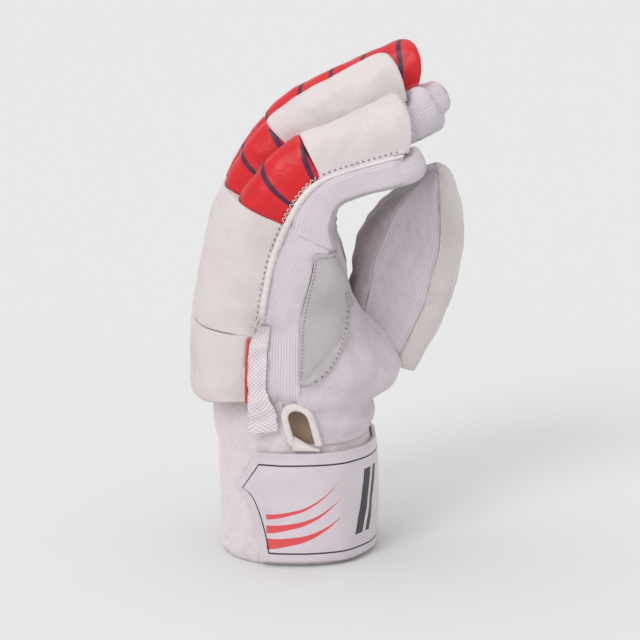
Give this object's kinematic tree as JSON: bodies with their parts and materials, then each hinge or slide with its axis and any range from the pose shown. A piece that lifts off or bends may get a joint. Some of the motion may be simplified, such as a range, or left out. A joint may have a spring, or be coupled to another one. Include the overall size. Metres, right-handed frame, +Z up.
{
  "type": "cricket batting glove",
  "caption": "Padded right-hand batting glove with roll fingers, knitted sides, thumb guard and wrist strap, standing on its cuff.",
  "frame": {"origin": "centre of the whole glove's box at its base, on the surface it stands on", "axes": "+Z up along the hand, +X to the palm side, -Y to the little finger, +Y to the thumb"},
  "size_m": [0.1306, 0.098, 0.2379],
  "materials": {
    "white_leather": "smooth coated leather, soft sheen",
    "red_leather": "smooth coated leather, bright red with navy printed lines",
    "grey_leather": "soft matte palm leather",
    "palm_leather": "soft matte leather, cool white",
    "ribbed_knit": "fine ribbed knit",
    "towelling": "brushed towelling",
    "mesh_cloth": "open mesh with a frayed edge",
    "strap_sheet": "smooth laminated strap",
    "white_binding": "folded leather binding",
    "red_piping": "thin red piping"
  },
  "bodies": {
    "root": {"cuff": "towelling", "wrist_strap": "strap_sheet", "slit_binding": "white_binding", "palm_leather": "palm_leather", "palm_patch": "grey_leather", "little_side_gusset": "ribbed_knit", "thumb_side_gusset": "ribbed_knit", "wrist_pad": "white_leather", "back_pad": "white_leather", "edge_welt": "white_binding", "mesh_trim": "mesh_cloth", "wrist_piping": "red_piping", "thumb_pad": "white_leather", "thumb_knit": "ribbed_knit", "thumb_leather": "grey_leather", "little_knuckle_pad": "red_leather", "little_finger_pad": "white_leather", "little_finger_knit": "ribbed_knit", "little_finger_leather": "grey_leather", "ring_knuckle_pad": "red_leather", "ring_finger_pad": "white_leather", "ring_finger_knit": "ribbed_knit", "ring_finger_leather": "grey_leather", "middle_knuckle_pad": "red_leather", "middle_finger_pad": "red_leather", "middle_finger_knit": "ribbed_knit", "middle_finger_leather": "grey_leather", "index_knuckle_pad": "red_leather", "index_finger_pad": "white_leather", "index_finger_knit": "ribbed_knit", "index_finger_leather": "grey_leather"}
  },
  "joints": []
}
